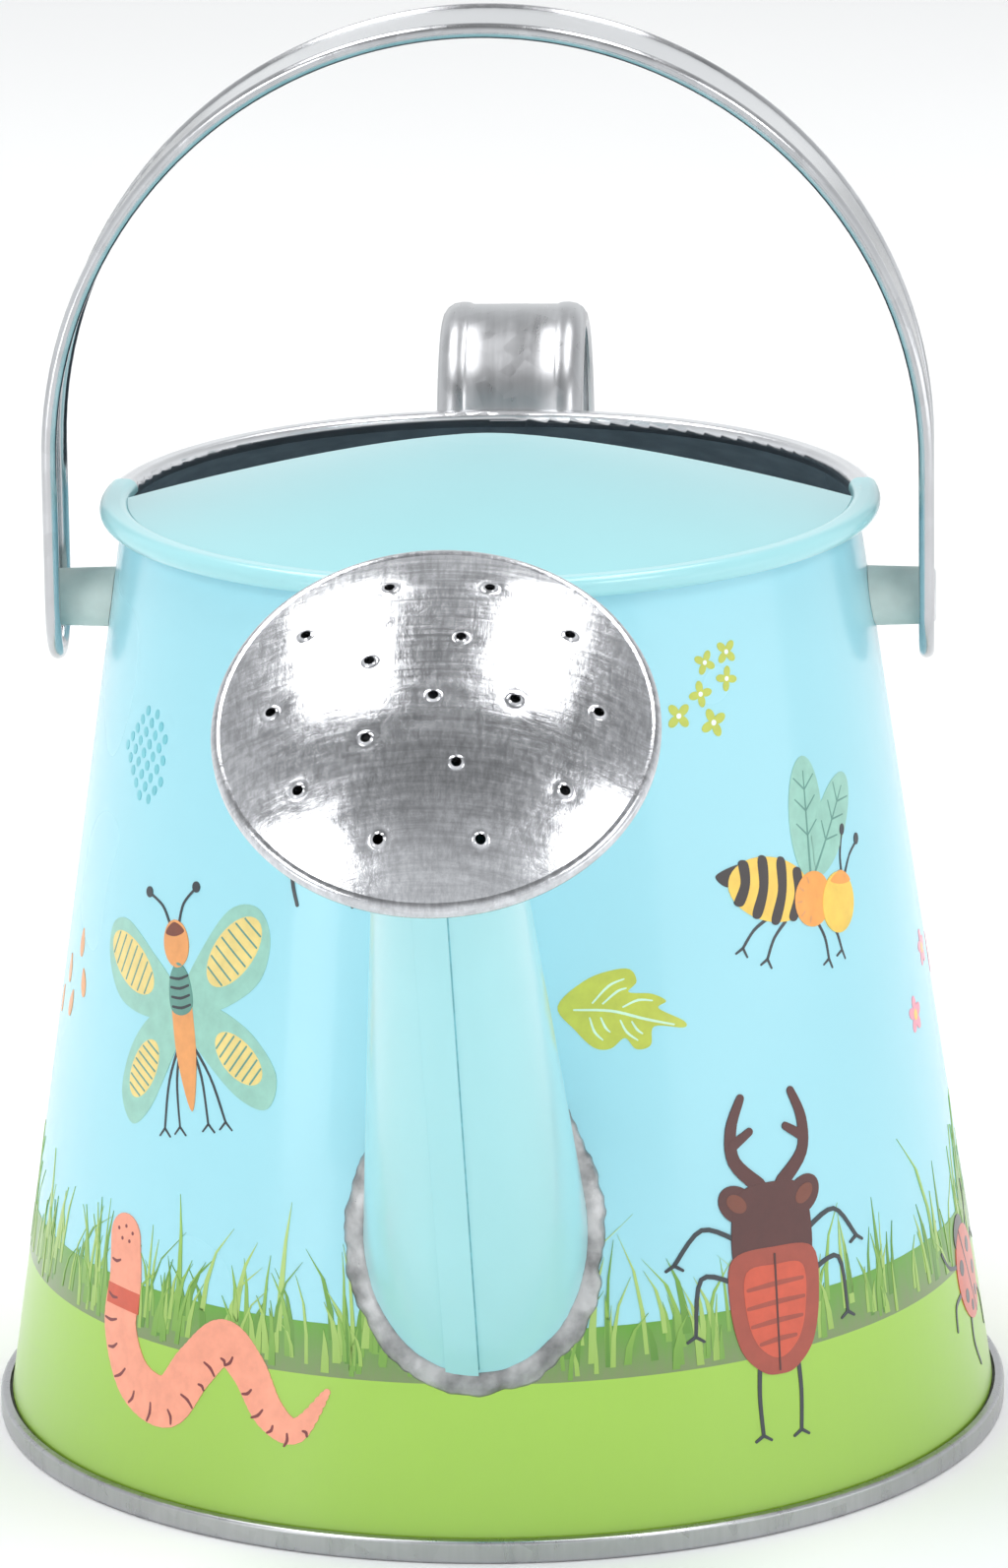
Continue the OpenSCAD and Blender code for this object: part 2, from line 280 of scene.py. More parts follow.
def enamel(name, colour):
    """Gloss enamel with slight flow marks and a few dull spots."""
    n = Nodes(name)
    tone = n.noise(50, 1)
    n.colour(n.ramp(tone, (0.2, tinted(colour, 0.98)), (0.8, tinted(colour, 1.01))))
    n.set(Coat_Weight=0.5, Coat_Roughness=0.1)
    n.roughness(n.span(n.noise(40, 1), 0.2, 0.8, 0.27, 0.32))
    n.bump(n.noise(160, 1), 0.1, 0.00005)
    return n.material


def galvanised(name, along="Z", tone=1.0, rough=0.2):
    """Bright zinc sheet: faint crystal spangle, rolling lines along the strip and fine scratches."""
    n = Nodes(name)
    spangle = n.add("ShaderNodeTexVoronoi")
    spangle.inputs["Scale"].default_value = 300
    n.link(n.place, spangle.inputs["Vector"])
    grey = n.add("ShaderNodeSeparateColor")
    n.link(spangle.outputs["Color"], grey.inputs[0])
    fine = {"Z": (900, 900, 60), "round_y": (60, 900, 60), "round_x": (900, 60, 60)}[along]
    lines = n.noise(1, 4, 0.6, at=n.stretched(fine))
    clouds = n.noise(70, 4, 0.6)
    mottled = n.math("ADD", n.math("MULTIPLY", grey.outputs[0], 0.15),
                     n.math("ADD", n.math("MULTIPLY", lines, 0.4), n.math("MULTIPLY", clouds, 0.45)))
    base = tinted(TIN, tone)
    n.colour(n.ramp(mottled, (0.3, tinted(base, 0.84)), (0.7, tinted(base, 1.12))))
    n.set(Metallic=1.0)
    n.roughness(n.span(mottled, 0.3, 0.7, rough - 0.06, rough + 0.1))
    n.bump(lines, 0.1, 0.00003)
    return n.material


def brushed_tin(name):
    """Rose face: bright tinplate with fine criss-cross scratches and soft stains."""
    n = Nodes(name)
    one = n.noise(1, 3, 0.7, at=n.stretched((60, 1600, 500)))
    other = n.noise(1, 3, 0.7, at=n.stretched((1500, 80, 700)))
    scratches = n.math("MULTIPLY", one, other)
    stains = n.noise(150, 5, 0.6, distortion=0.6)
    base = linear(212, 213, 217)
    shade = n.math("ADD", n.math("MULTIPLY", scratches, 1.1), n.math("MULTIPLY", stains, 0.45))
    n.colour(n.ramp(shade, (0.3, tinted(base, 0.72)), (0.62, tinted(base, 1.1))))
    n.set(Metallic=1.0)
    n.roughness(n.span(shade, 0.25, 0.7, 0.12, 0.27))
    n.bump(n.math("ADD", n.math("MULTIPLY", scratches, 0.3), n.math("MULTIPLY", stains, 0.7)), 0.5, 0.0002)
    return n.material


def solder_metal(name):
    """Dull, lumpy solder with dark dirt in it."""
    n = Nodes(name)
    lumps = n.noise(500, 6, 0.65)
    dirt = n.noise(190, 4)
    base = linear(186, 187, 188)
    n.colour(n.mix(n.span(dirt, 0.4, 0.65, 0, 0.9), base, tinted(base, 0.36)))
    n.set(Metallic=0.9)
    n.roughness(n.span(lumps, 0.3, 0.7, 0.26, 0.5))
    n.bump(lumps, 0.6, 0.00025)
    return n.material


def moulded_plastic(name, colour):
    """Matt plastic with a fine grain."""
    n = Nodes(name)
    tone = n.noise(300, 4)
    n.colour(n.ramp(tone, (0.3, tinted(colour, 0.92)), (0.7, tinted(colour, 1.05))))
    n.roughness(n.span(n.noise(900, 2), 0.3, 0.7, 0.42, 0.56))
    n.bump(n.noise(1500, 2), 0.2, 0.00004)
    return n.material


def rubbery(name, colour):
    """Dull, mottled sealing compound; with a darker blue it is also the painted shade on the spout's lap strip."""
    n = Nodes(name)
    n.colour(n.ramp(n.noise(500, 3), (0.3, tinted(colour, 0.8)), (0.7, tinted(colour, 1.2))))
    n.roughness(n.span(n.noise(700, 2), 0.3, 0.7, 0.6, 0.8))
    return n.material


def dress(node, material):
    """Gives a CAD node its one material."""
    nodes[node].data.materials.clear()
    nodes[node].data.materials.append(material)


zinc_upright = galvanised("zinc_upright", "Z")
solder = solder_metal("soft_solder")
steel = galvanised("rivet_steel", "Z", 0.95, 0.3)
blue = enamel("blue_enamel", COVER_BLUE)
dress("body_shell", painted_wall())
dress("base_pan", galvanised("zinc_base", "Z", 0.6, 0.28))
dress("base_seam_compound", rubbery("seam_compound", (0.05, 0.05, 0.045)))
dress("front_cover", blue)
dress("spout_tube", blue)
dress("rose_neck", zinc_upright)
dress("rose_funnel", zinc_upright)
dress("bail_handle", galvanised("zinc_bail", "round_y", 0.78, 0.18))
for side in ("left", "right"):
    dress("rivet_" + side, steel)
    dress("rivet_washer_" + side, steel)
    dress("spacer_" + side, moulded_plastic("spacer_plastic_" + side, linear(212, 224, 218)))


# -------- mesh helpers

def new_object(name, data):
    made = bpy.data.objects.new(name, data)
    bpy.context.scene.collection.objects.link(made)
    return made


def make_piece(name, verts, faces, materials, body, slot, marks=None, sharp_deg=None):
    """A new piece from millimetre vertices. marks gives each face's material."""
    mesh = bpy.data.meshes.new(name)
    mesh.from_pydata([Vector(v) * MM for v in verts], [], faces)
    for material in materials:
        mesh.materials.append(material)
    for i, polygon in enumerate(mesh.polygons):
        polygon.use_smooth = True
        if marks:
            polygon.material_index = marks[i]
    made = bmesh.new()
    made.from_mesh(mesh)
    bmesh.ops.recalc_face_normals(made, faces=made.faces)
    made.to_mesh(mesh)
    made.free()
    mesh.validate()
    if sharp_deg:
        mesh.set_sharp_from_angle(angle=radians(sharp_deg))
    piece = new_object(name, mesh)
    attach(piece, body)
    return piece


def loft(rings, closed_path=False):
    """Faces that join equal rings of points into a tube; the ends are capped unless the path is closed."""
    count = len(rings[0])
    verts = [p for ring in rings for p in ring]
    faces = []
    steps = len(rings) if closed_path else len(rings) - 1
    for i in range(steps):
        a, b = i * count, (i + 1) % len(rings) * count
        for j in range(count):
            k = (j + 1) % count
            faces.append((a + j, a + k, b + k, b + j))
    if not closed_path:
        faces.append(tuple(range(count - 1, -1, -1)))
        faces.append(tuple(range((len(rings) - 1) * count, len(rings) * count)))
    return verts, faces


def turns(count):
    """Equal steps once round a circle, in radians."""
    return [2 * pi * k / count for k in range(count)]


def closed_sheet(faces, count, start=0):
    """The faces, their reverse count points further on, and the edge that joins the two; start is added to all."""
    edges = dict.fromkeys((a, b) for f in faces for a, b in zip(f, f[1:] + f[:1]))
    made = faces + [tuple(i + count for i in reversed(f)) for f in faces]
    made += [(b, a, a + count, b + count) for a, b in edges if (b, a) not in edges]
    return [tuple(i + start for i in f) for f in made]


def wobble(point, scale, seed=0.0):
    """Smooth repeatable noise, about -1 to 1, at a point in millimetres."""
    return noise.noise(Vector(point) * scale + Vector((seed, seed * 1.7, -seed)))


# -------- solder

def spout_meets_wall(turn):
    """The point where the spout's surface line at this turn round its axis meets the wall."""
    low, high = -40.0, 40.0
    for _ in range(40):
        l = (low + high) / 2
        p = round_spout(spout_r(l), turn, l)
        if hypot(p.x, p.y) > wall_r(p.z):
            high = l
        else:
            low = l
    return p


def wall_normal(p):
    """The wall's outward direction at a point on it."""
    out = Vector((p.x, p.y, 0)).normalized()
    return (out + Vector((0, 0, wall_slope))).normalized()


def make_spout_solder():
    """Lumpy fillet between the wall and the spout."""
    axis = (spout_frame.to_3x3() @ Vector((0, 0, 1))).normalized()
    rings = []
    for turn in turns(300):
        p = spout_meets_wall(turn)
        wall_out = wall_normal(p)
        radial = p - spout_root - axis * (p - spout_root).dot(axis)
        spout_out = radial.normalized()
        on_sheet = (spout_out - wall_out * spout_out.dot(wall_out)).normalized()
        on_spout = (wall_out - spout_out * wall_out.dot(spout_out)).normalized()
        wide = 2.35 + 0.75 * wobble(p, 0.22, 3) + 0.35 * wobble(p, 0.8, 5)
        tall = 1.15 + 0.3 * wobble(p, 0.35, 9)
        ring = [p + on_sheet * wide - wall_out * 0.25]
        for k in range(9):
            t = k / 8
            mid = on_sheet * (wide * 0.62) + on_spout * (tall * 0.62)
            q = on_sheet * (wide * (1 - t) ** 2) + mid * (2 * t * (1 - t)) + on_spout * (tall * t * t)
            lump = 0.22 * sin(pi * t) * (1 + 0.9 * wobble(p + q, 1.1, 2))
            ring.append(p + q + (wall_out + spout_out).normalized() * lump)
        ring.append(p + on_spout * tall - spout_out * 0.25)
        ring.append(p - spout_out * 0.25 - wall_out * 0.25)
        rings.append(ring)
    piece = make_piece("spout_solder_fillet", *loft(rings, closed_path=True), [solder], "can", "solder")
    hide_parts("spout_solder")


def bead(name, path, normals, radius, body, replaced, closed=False):
    """A run of solder along a path: a lumpy, flattened round bead."""
    rings = []
    for i, p in enumerate(path):
        before = path[i - 1] if i or closed else path[0]
        after = path[(i + 1) % len(path)] if i + 1 < len(path) or closed else path[-1]
        ahead = (after - before).normalized()
        up = normals[i]
        across = ahead.cross(up).normalized()
        end = 1.0 if closed else min(1.0, 0.25 + 0.35 * min(i, len(path) - 1 - i))
        r = radius * end * (1 + 0.3 * wobble(p, 0.5, 7) + 0.16 * wobble(p, 1.6, 1))
        rings.append([p + across * (1.25 * r * cos(a)) + up * (0.62 * r * sin(a))
                      for a in turns(12)])
    piece = make_piece(name, *loft(rings, closed_path=closed), [solder], body, "solder")
    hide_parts(replaced)


def tab_outline(low_z, high_z, half):
    """Points round three sides of a tab on the rear wall."""
    corners = [(-half, high_z), (-half, low_z), (half, low_z), (half, high_z)]
    points = []
    for (x0, z0), (x1, z1) in zip(corners, corners[1:]):
        count = max(2, int(hypot(x1 - x0, z1 - z0) / 0.5))
        points += [(x0 + (x1 - x0) * k / count, z0 + (z1 - z0) * k / count) for k in range(count)]
    points.append(corners[-1])
    return points


def make_tab_solder(name, node):
    """Bead round three sides of a handle tab, within the frame's plain band of solder."""
    low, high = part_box(node)
    half = high.x / MM - tab_border
    path, normals = [], []
    for x, z in tab_outline(low.z / MM + tab_border, high.z / MM, half):
        r = wall_r(z) + 0.25
        p = Vector((x, sqrt(r * r - x * x), z))
        path.append(p)
        normals.append(wall_normal(p))
    bead(name, path, normals, 1.35, "can", node)


def make_rose_solder():
    """Uneven ring of solder under the rose, round the collar of its neck."""
    r = spout_tip_r + 0.25
    path, normals = [], []
    for a in turns(90):
        path.append(round_spout(r, a, rose_collar_l + 1.5))
        normals.append((spout_frame.to_3x3() @ Vector((cos(a), sin(a), -0.3))).normalized())
    bead("rose_neck_solder", path, normals, 0.8, "rose", "rose_solder", closed=True)


make_spout_solder()
make_tab_solder("upper_tab_solder", "handle_solder_upper")
make_tab_solder("lower_tab_solder", "handle_solder_lower")
make_rose_solder()


# -------- rose face

def dome_point(x, y, lift=0.0):
    """Point on the domed face, x and y millimetres from its axis, lifted off the ideal dome."""
    dome_r = ((rose_r - 0.5) ** 2 + rose_dome ** 2) / (2 * rose_dome)
    centre_l = rose_edge_l + rose_dome - dome_r
    depth = sqrt(dome_r ** 2 - x * x - y * y)
    out = Vector((x, y, depth)).normalized()
    return spout_frame @ (Vector((x, y, centre_l + depth)) + out * lift)


def spray_centres():
    """Where the spray holes are, seen along the rose's axis."""
    rows = [(0, 1, 0), (rose_r * 0.36, 5, 72), (rose_r * 0.725, 10, 36)]
    return [(r * cos(radians(step * i)), r * sin(radians(step * i)))
            for r, count, step in rows for i in range(count)]


def make_rose_face():
    """Pressed tin dome with punched holes, each with a small burr, and shallow dents; a crimped edge round it."""
    edge = rose_r - 0.9
    holes = spray_centres()
    points, loops = [], []

    def ring(cx, cy, r, count):
        start = len(points)
        points.extend(Vector((cx + r * cos(a), cy + r * sin(a))) for a in turns(count))
        return tuple(range(start, start + count))

    loops.append(ring(0, 0, edge, 180))
    loops += [ring(x, y, spray_r, 24) for x, y in holes]
    for x, y in holes:
        for r in (0.74, 0.86, 1.02, 1.25, 1.6):
            ring(x, y, r, 24)
    step = 0.8
    r = edge - step
    while r > 0.9:
        count = max(8, int(2 * pi * r / 0.85))
        for k in range(count):
            a = 2 * pi * (k + 0.5 * (int(r * 10) % 2)) / count
            p = Vector((r * cos(a), r * sin(a)))
            if all((p - Vector(h)).length > 2.0 for h in holes):
                points.append(p)
        r -= step
    flat, _, faces, _, _, owners = delaunay_2d_cdt(points, [], loops, 0, 1e-5)

    def lift(p):
        near = min((p - Vector(h)).length for h in holes)
        burr = 0.16 * exp(-((near - spray_r) / 0.16) ** 2) + 0.05 * exp(-((near - spray_r) / 0.9) ** 2)
        sink = -0.09 * exp(-((near - 1.25) / 0.45) ** 2)
        fade = min(1.0, (edge - p.length) / 3.0) if p.length < edge else 0.0
        dents = 0.055 * wobble((p.x, p.y, 0), 0.17, 4) + 0.02 * wobble((p.x, p.y, 5), 0.42, 8)
        return burr + sink + dents * fade

    outer = [dome_point(p.x, p.y, lift(p)) for p in flat]
    inner = [dome_point(p.x, p.y, -sheet_t) for p in flat]
    all_faces = closed_sheet([tuple(f) for f, o in zip(faces, owners) if o == [0]], len(outer))
    verts = outer + inner
    low = rose_edge_l - 1.45
    profile = [(edge - 0.25, rose_edge_l + 0.36), (edge + 0.1, rose_edge_l + 0.33),
               (rose_r - 0.4, rose_edge_l + 0.16), (rose_r - 0.12, rose_edge_l - 0.06),
               (rose_r, rose_edge_l - 0.35), (rose_r, low + 0.35), (rose_r - 0.08, low + 0.12),
               (rose_r - 0.3, low), (rose_r - 1.25, low), (rose_r - 1.25, low + 0.3),
               (rose_r - 0.6, low + 0.36), (rose_r - 0.6, rose_edge_l - 0.4),
               (edge - 0.25, rose_edge_l - 0.1)]
    rings = [[round_spout(r, a, l) for r, l in profile] for a in turns(180)]
    lathe_verts, lathe_faces = loft(rings, closed_path=True)
    start = len(verts)
    verts += lathe_verts
    all_faces += [tuple(i + start for i in f) for f in lathe_faces]
    piece = make_piece("rose_face_sheet", verts, all_faces, [brushed_tin("rose_tin")], "rose", "bright_tinplate",
                       sharp_deg=50)
    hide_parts("rose_face")


make_rose_face()


# -------- rear handle

def bend(state, turn_to, radius, count):
    """Steps round an arc from a [y, z, heading] state; a negative radius turns clockwise."""
    y, z, start = state
    steps = []
    for i in range(1, count + 1):
        h = start + (turn_to - start) * i / count
        steps.append((y + radius * (sin(h) - sin(start)),
                      z + radius * (cos(start) - cos(h)), h))
    return steps


def handle_path():
    """The strip's outer face from the upper tab over the rim and down to the lower tab."""
    tab_top, tab_long, rise_r, back_r, sweep_r, foot_r = 116, 12, 20.6, 27, 50, 18
    up, down, steep = radians(90) + wall_lean, wall_lean - radians(90), radians(-135)
    start = (wall_r(tab_top) + tab_gap, tab_top, up)
    path = [(start[0] - d * cos(up), start[1] - d * sin(up), up) for d in range(tab_long, -1, -1)]
    path += bend(path[-1], 0, -rise_r, 26)
    path += bend(path[-1], radians(-90), -back_r, 26)
    path += bend(path[-1], steep, -sweep_r, 18)
    foot_y, foot_z, _ = bend((0, 0, steep), down, foot_r, 1)[0]
    y, z, _ = path[-1]
    run = (y + foot_y - wall_r(z + foot_z) - tab_gap - strip_t) / (cos(radians(45)) * (wall_slope + 1))
    path += [(y + run * k / 6 * cos(steep), z + run * k / 6 * sin(steep), steep) for k in range(1, 7)]
    path += bend(path[-1], down, foot_r, 14)
    y, z, _ = path[-1]
    path += [(y + d * cos(down), z + d * sin(down), down) for d in range(1, tab_long)]
    return path


def make_rear_handle():
    """Strip with rolled-down edges between two flat tabs."""
    full = [(0, 0), (3, 0), (6.1, 0), (6.4, 0.16), (6.8, 0.27), (7.7, 0.3), (8.8, 0.08), (9.64, -0.48),
            (10.2, -1.3), (10.4, -2.2), (10.3, -2.65), (9.95, -2.85), (9.6, -2.7), (9.5, -2.3), (9.5, -1.6),
            (9.1, -0.95), (8.4, -0.45), (7.6, -0.22), (6.9, -0.25), (6.4, -0.5), (3, -0.5), (0, -0.5)]
    flat = [(x, 0) for x in (0, 3, 5, 6, 7, 8, 8.8, 9.5, 10.1)]
    flat += [(10.4, -0.05), (10.5, -0.15), (10.5, -0.25), (10.5, -0.35), (10.4, -0.45)]
    flat += [(x, -0.5) for x in (10.1, 9.5, 8.8, 8, 7, 5, 3, 0)]
    path = handle_path()
    along = [0.0]
    for a, b in zip(path, path[1:]):
        along.append(along[-1] + hypot(b[0] - a[0], b[1] - a[1]))
    rings = []
    for (y, z, h), s in zip(path, along):
        formed = min(1.0, max(0.0, (min(s, along[-1] - s) - 12.5) / 10))
        formed = formed * formed * (3 - 2 * formed)
        upper = s < along[-1] / 2
        half = []
        for (fx, fu), (gx, gu) in zip(full, flat):
            x, u = gx + (fx - gx) * formed, gu + (fu - gu) * formed
            hug = (1 - formed) * (sqrt(wall_r(z) ** 2 - x * x) - wall_r(z))
            u += -hug if upper else hug
            dent = 0.06 * formed * wobble((x, y, z), 0.16, 3)
            half.append((x, u + dent))
        loop = half + [(-x, u) for x, u in half[-2:0:-1]]
        rings.append([(x, y - u * sin(h), z + u * cos(h)) for x, u in loop])
    grip_zinc = galvanised("zinc_grip", "round_x", 0.7, 0.3)
    piece = make_piece("rear_handle_strip", *loft(rings), [grip_zinc], "can", "galvanised", sharp_deg=40)
    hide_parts("rear_handle")


make_rear_handle()


# -------- spout seam

def make_spout_seam():
    """Lapped edge of the spout sheet: a thin ridge whose darker blue colour is painted shade in the gap at the
    step.
    """
    rings = []
    for i in range(41):
        l = -12.5 + i * (spout_len + 12.4) / 40
        r = spout_r(l)
        rings.append([spout_frame @ Vector((x, -sqrt((r + up) ** 2 - x * x), l))
                      for x, up in ((0.38, -0.05), (0.38, 0.2), (0.46, 0.12), (0.58, 0.02), (0.58, -0.05))])
    # The strip's colour is painted shade: the spout's blue, darkened.
    shadow = rubbery("seam_shadow", linear(112, 178, 190))
    make_piece("spout_lap_seam", *loft(rings), [shadow], "can", "seam_compound")


make_spout_seam()


# -------- printed motifs

def smooth(points, closed=True, per=6):
    """A smooth line through the points."""
    n = len(points)
    result = []
    spans = n if closed else n - 1
    for i in range(spans):
        near = [(i + k) % n if closed else min(max(i + k, 0), n - 1) for k in (-1, 0, 1, 2)]
        p0, p1, p2, p3 = (Vector(points[k]) for k in near)
        for s in range(per):
            t = s / per
            result.append(0.5 * ((2 * p1) + (p2 - p0) * t + (2 * p0 - 5 * p1 + 4 * p2 - p3) * t * t
                                 + (3 * p1 - p0 - 3 * p2 + p3) * t ** 3))
    if not closed:
        result.append(Vector(points[-1]))
    return result


def ellipse(cx, cy, rx, ry, tilt=0.0, n=32):
    """Outline of an ellipse, tilted by degrees."""
    t = radians(tilt)
    return [Vector((cx + rx * cos(a) * cos(t) - ry * sin(a) * sin(t),
                    cy + rx * cos(a) * sin(t) + ry * sin(a) * cos(t)))
            for a in turns(n)]


def stroke(points, widths, per=5, round_ends=True):
    """Outline of a line of changing width through the points."""
    line = smooth(points, closed=False, per=per)
    count = len(line)
    left, right = [], []
    for i, p in enumerate(line):
        t = (line[min(i + 1, count - 1)] - line[max(i - 1, 0)]).normalized()
        side = Vector((-t.y, t.x))
        at = i / (count - 1) * (len(widths) - 1)
        k = min(int(at), len(widths) - 2)
        w = (widths[k] + (widths[k + 1] - widths[k]) * (at - k)) / 2
        left.append(p + side * w)
        right.append(p - side * w)
    cap_end, cap_start = [], []
    if round_ends:
        for caps, p, before, w in ((cap_end, line[-1], line[-2], widths[-1] / 2),
                                   (cap_start, line[0], line[1], widths[0] / 2)):
            out = (p - before).normalized()
            side = Vector((-out.y, out.x))
            caps.extend(p + (side * cos(a) + out * sin(a)) * w
                        for a in (pi * k / 6 for k in range(1, 6)))
    return left + cap_end + right[::-1] + cap_start


class Motif:
    """One printed picture on the wall: thin closed layers of ink, each a little above the one before."""

    def __init__(self, name, deg, z, turn=0.0, size=1.0, mirror=False, lift=0):
        self.name, self.deg, self.z, self.turn, self.lift = name, deg, z, radians(turn), lift
        self.size, self.flip = size, -1 if mirror else 1
        self.verts, self.faces, self.marks, self.inks = [], [], [], []

    def place(self, p):
        x, y = p[0] * self.size * self.flip, p[1] * self.size
        c, s = cos(self.turn), sin(self.turn)
        z = self.z + (x * s + y * c) * cos(wall_lean)
        return Vector((self.deg + degrees((x * c - y * s) / wall_r(z)), z))

    def add(self, outline, ink_name, layer=1):
        """Adds a closed shape, given in the motif's own millimetres."""
        self.add_joined([outline], ink_name, layer)

    def blob(self, points, ink_name, layer):
        self.add(smooth(points), ink_name, layer)

    def oval(self, cx, cy, rx, ry, ink_name, layer=1, **more):
        self.add(ellipse(cx, cy, rx, ry, **more), ink_name, layer)

    def line(self, points, widths, ink_name, layer=1, **more):
        self.add(stroke(points, widths, **more), ink_name, layer)

    def add_joined(self, outlines, ink_name, layer):
        """Adds several overlapping closed shapes as one."""
        points, loops, lines = [], [], []
        for outline in outlines:
            placed = [self.place(p) for p in outline]
            if sum(a.x * b.y - b.x * a.y for a, b in zip(placed, placed[1:] + placed[:1])) < 0:
                placed = placed[::-1]
            loops.append(tuple(range(len(points), len(points) + len(placed))))
            points += placed
        low = min(p.x for p in points)
        high = max(p.x for p in points)
        z0, z1 = min(p.y for p in points) - 1, max(p.y for p in points) + 1
        first = ceil((low + 0.05) / grid_deg)
        for k in range(first, floor((high - 0.05) / grid_deg) + 1):
            lines.append((len(points), len(points) + 1))
            points += [Vector((k * grid_deg, z0)), Vector((k * grid_deg, z1))]
        flat, _, faces, _, _, owners = delaunay_2d_cdt(points, lines, loops, 0, 1e-6)
        kept = [tuple(f) for f, o in zip(faces, owners) if o]
        used = sorted({i for f in kept for i in f})
        index = {v: k for k, v in enumerate(used)}
        top = [on_wall(flat[i].x, flat[i].y, ink_base + ink_step * (layer + self.lift)) for i in used]
        back = [on_wall(flat[i].x, flat[i].y, -ink_sink) for i in used]
        start, count = len(self.verts), len(used)
        self.verts += top + back
        made = closed_sheet([tuple(index[i] for i in f) for f in kept], count, start)
        if ink_name not in self.inks:
            self.inks.append(ink_name)
        self.faces += made
        self.marks += [self.inks.index(ink_name)] * len(made)

    def finish(self):
        inks = [INK[name] for name in self.inks]
        make_piece(self.name, self.verts, self.faces, inks, "can", "printed_tinplate", self.marks, sharp_deg=30)


INK = {name: ink("ink_" + name, linear(*rgb)) for name, rgb in {
    "teal": (150, 202, 186), "teal_line": (96, 150, 138), "straw": (236, 212, 132), "orange": (232, 158, 92),
    "rust": (120, 60, 40), "night": (44, 52, 58), "yellow": (246, 204, 84), "amber": (250, 166, 76),
    "black": (44, 34, 34), "mustard": (190, 200, 74), "pale": (206, 240, 214), "maroon": (82, 36, 32),
    "brick": (163, 70, 52), "coral": (208, 84, 56), "salmon": (243, 158, 130), "wine": (122, 44, 46),
    "pink": (240, 150, 170), "aqua": (110, 196, 208), "white": (240, 248, 250)}.items()}


def legs(motif, starts, bend, ink_name, width=0.55):
    """Thin jointed legs with a small split foot."""
    for (x0, y0), (x1, y1) in starts:
        mid = ((x0 + x1) / 2 + bend * (1 if x1 > x0 else -1), (y0 + y1) / 2 + abs(bend) * 0.6)
        motif.line([(x0, y0), mid, (x1, y1)], [width, width * 0.9, width * 0.8], ink_name)
        for dx, dy in ((-1.1, -0.9), (0.9, -1.2)):
            motif.line([(x1, y1), (x1 + dx, y1 + dy)], [width * 0.8, width * 0.6], ink_name, per=2)


def butterfly(name, deg, z, turn, size=1.0, mirror=False):
    """Spread wings with hatched spots, a narrow body and four legs."""
    m = Motif(name, deg, z, turn, size, mirror)
    wings = [([(0.5, 2.5), (4.5, 7.5), (10.5, 12.6), (15.2, 12.4), (16.6, 8), (14, 2.6), (8, -0.2), (2, -0.6)],
              (10.4, 7.0, 6.0, 3.1, 38)),
             ([(0.6, 0.6), (6, 0), (11.5, -4), (14.6, -10), (12.6, -14.4), (8.4, -12.6), (3.8, -7.4), (0.8, -3)],
              (9.0, -7.2, 4.6, 2.5, -48))]
    m.add_joined([smooth([(x * side, y) for x, y in outline]) for outline, _ in wings for side in (-1, 1)],
                 "teal", 1)
    for _, spot in wings:
        for side in (-1, 1):
            cx, cy, rx, ry, tilt = spot
            m.oval(cx * side, cy, rx, ry, "straw", 2, tilt=tilt * side)
            t = radians(tilt)
            for k in range(-3, 4):
                ox = cx + cos(t) * k * rx * 0.26
                oy = cy + sin(t) * k * rx * 0.26
                half = ry * 0.86 * sqrt(max(0.0, 1 - (k * 0.26) ** 2))
                nx, ny = -sin(t) * half, cos(t) * half
                m.line([((ox - nx) * side, oy - ny), ((ox + nx) * side, oy + ny)], [0.28, 0.28], "teal_line", 3,
                       per=2)
    legs(m, [((0.6 * side, -3.5), (reach * side, -15.4)) for side in (-1, 1) for reach in (2.6, 5.6)], 0.7,
         "night", 0.4)
    m.blob([(0, 6), (1.7, 3), (2.0, -1), (1.7, -7), (0, -13.5), (-1.7, -7), (-2.0, -1), (-1.7, 3)], "orange", 3)
    m.blob([(0, 6.5), (1.9, 4.4), (2.1, 0.5), (0, -0.6), (-2.1, 0.5), (-1.9, 4.4)], "teal_line", 4)
    for k in range(4):
        m.line([(-1.7, 4.6 - 1.3 * k), (0, 4.3 - 1.3 * k), (1.7, 4.6 - 1.3 * k)], [0.34, 0.4, 0.34], "night", 5,
               per=3)
    m.oval(0, 9.0, 2.5, 3.2, "orange", 4)
    m.blob([(-1.9, 10.6), (0, 11.9), (1.9, 10.6), (0, 10.0)], "rust", 5)
    for side in (-1, 1):
        m.line([(0.9 * side, 11.6), (2.2 * side, 14.2), (4.8 * side, 16.0)], [0.4, 0.34, 0.34], "night", 3)
        m.oval(5.0 * side, 16.2, 0.75, 0.75, "night", 4, n=14)
    m.finish()


